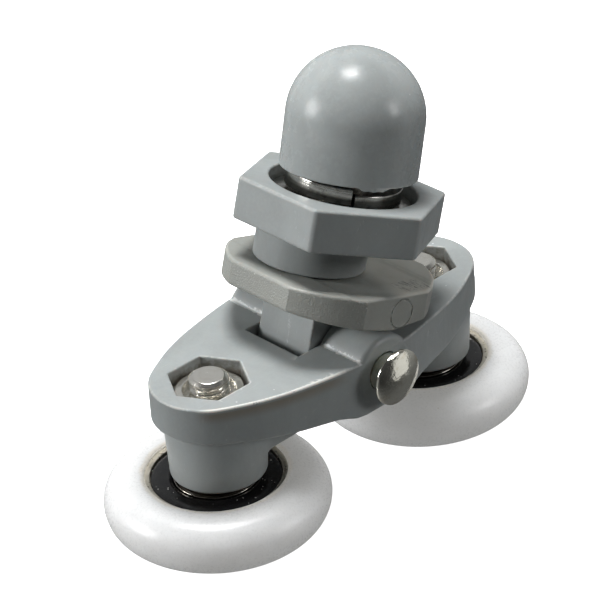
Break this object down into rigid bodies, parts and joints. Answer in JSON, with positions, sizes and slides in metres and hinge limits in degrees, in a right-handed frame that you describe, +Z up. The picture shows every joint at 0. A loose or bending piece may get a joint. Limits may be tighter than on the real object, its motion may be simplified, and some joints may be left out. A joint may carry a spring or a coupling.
{
  "type": "sliding door roller",
  "caption": "Twin-wheel sliding glass door roller: a pivoting stem on a carrier arm clamps the glass between a plate and an eccentric hex bush under a domed cap.",
  "frame": {"origin": "midway between the two wheel axes, on the surface that the two bolt heads stand on", "axes": "+X from wheel a to wheel b, +Z up along the wheel axes, +Y away from the rivet head; the stem leans from +Z towards +X"},
  "size_m": [0.0524, 0.0236, 0.0455],
  "materials": {
    "grey_plastic": "satin moulded",
    "plate_plastic": "matt moulded",
    "tyre": "smooth moulded",
    "seal": "smooth",
    "cage": "moulded",
    "bearing_steel": "ground",
    "steel": "zinc plated",
    "nickel": "nickel plated",
    "brass": "turned"
  },
  "bodies": {
    "carrier": {"carrier_arm": "grey_plastic", "pivot_rivet": "nickel", "axle_bolt_a": "nickel", "axle_bolt_b": "nickel", "axle_nut_a": "nickel", "axle_nut_b": "nickel", "inner_ring_a": "bearing_steel", "inner_ring_b": "bearing_steel"},
    "wheel_a": {"tyre_a": "tyre", "outer_ring_a": "bearing_steel", "upper_seal_a": "seal", "lower_seal_a": "seal"},
    "balls_a": {"ball_cage_a": "cage", "ball_a1": "bearing_steel", "ball_a2": "bearing_steel", "ball_a3": "bearing_steel", "ball_a4": "bearing_steel", "ball_a5": "bearing_steel", "ball_a6": "bearing_steel", "ball_a7": "bearing_steel"},
    "wheel_b": {"tyre_b": "tyre", "outer_ring_b": "bearing_steel", "upper_seal_b": "seal", "lower_seal_b": "seal"},
    "balls_b": {"ball_cage_b": "cage", "ball_b1": "bearing_steel", "ball_b2": "bearing_steel", "ball_b3": "bearing_steel", "ball_b4": "bearing_steel", "ball_b5": "bearing_steel", "ball_b6": "bearing_steel", "ball_b7": "bearing_steel"},
    "stem": {"pivot_block": "grey_plastic", "clamp_plate": "plate_plastic", "clamp_stud": "steel"},
    "clamp_stack": {"flat_washer": "steel", "lock_washer": "steel"},
    "bush": {"eccentric_bush": "grey_plastic"},
    "cap": {"dome_cap": "grey_plastic", "cap_insert": "brass"}
  },
  "joints": [
    {"name": "wheel_a_spin", "type": "hinge", "parent": "carrier", "child": "wheel_a", "pos_m": [-0.0147, 0, 0.0047], "axis": [0, 0, 1], "continuous": true},
    {"name": "balls_a_orbit", "type": "hinge", "parent": "carrier", "child": "balls_a", "pos_m": [-0.0147, 0, 0.0047], "axis": [0, 0, 1], "continuous": true},
    {"name": "wheel_b_spin", "type": "hinge", "parent": "carrier", "child": "wheel_b", "pos_m": [0.0147, 0, 0.0047], "axis": [0, 0, 1], "continuous": true},
    {"name": "balls_b_orbit", "type": "hinge", "parent": "carrier", "child": "balls_b", "pos_m": [0.0147, 0, 0.0047], "axis": [0, 0, 1], "continuous": true},
    {"name": "stem_pivot", "type": "hinge", "parent": "carrier", "child": "stem", "pos_m": [0, 0, 0.0162], "axis": [0, 1, 0], "range_deg": [-34.2, 0]},
    {"name": "clamp_travel", "type": "slide", "parent": "stem", "child": "clamp_stack", "axis": [0.294, 0, 0.9558], "range_m": [0, 0.00401]},
    {"name": "bush_turn", "type": "hinge", "parent": "clamp_stack", "child": "bush", "pos_m": [0.00353, 0, 0.02767], "axis": [0.294, 0, 0.9558], "continuous": true},
    {"name": "cap_turn", "type": "hinge", "parent": "clamp_stack", "child": "cap", "pos_m": [0.00526, 0, 0.03329], "axis": [0.294, 0, 0.9558], "range_deg": [0, 1440]}
  ],
  "couplings": [
    {"joint": "balls_a_orbit", "follows": "wheel_a_spin", "ratio": 0.6132},
    {"joint": "balls_b_orbit", "follows": "wheel_b_spin", "ratio": 0.6132},
    {"joint": "clamp_travel", "follows": "cap_turn", "m_per_rad": 0.00015915}
  ]
}
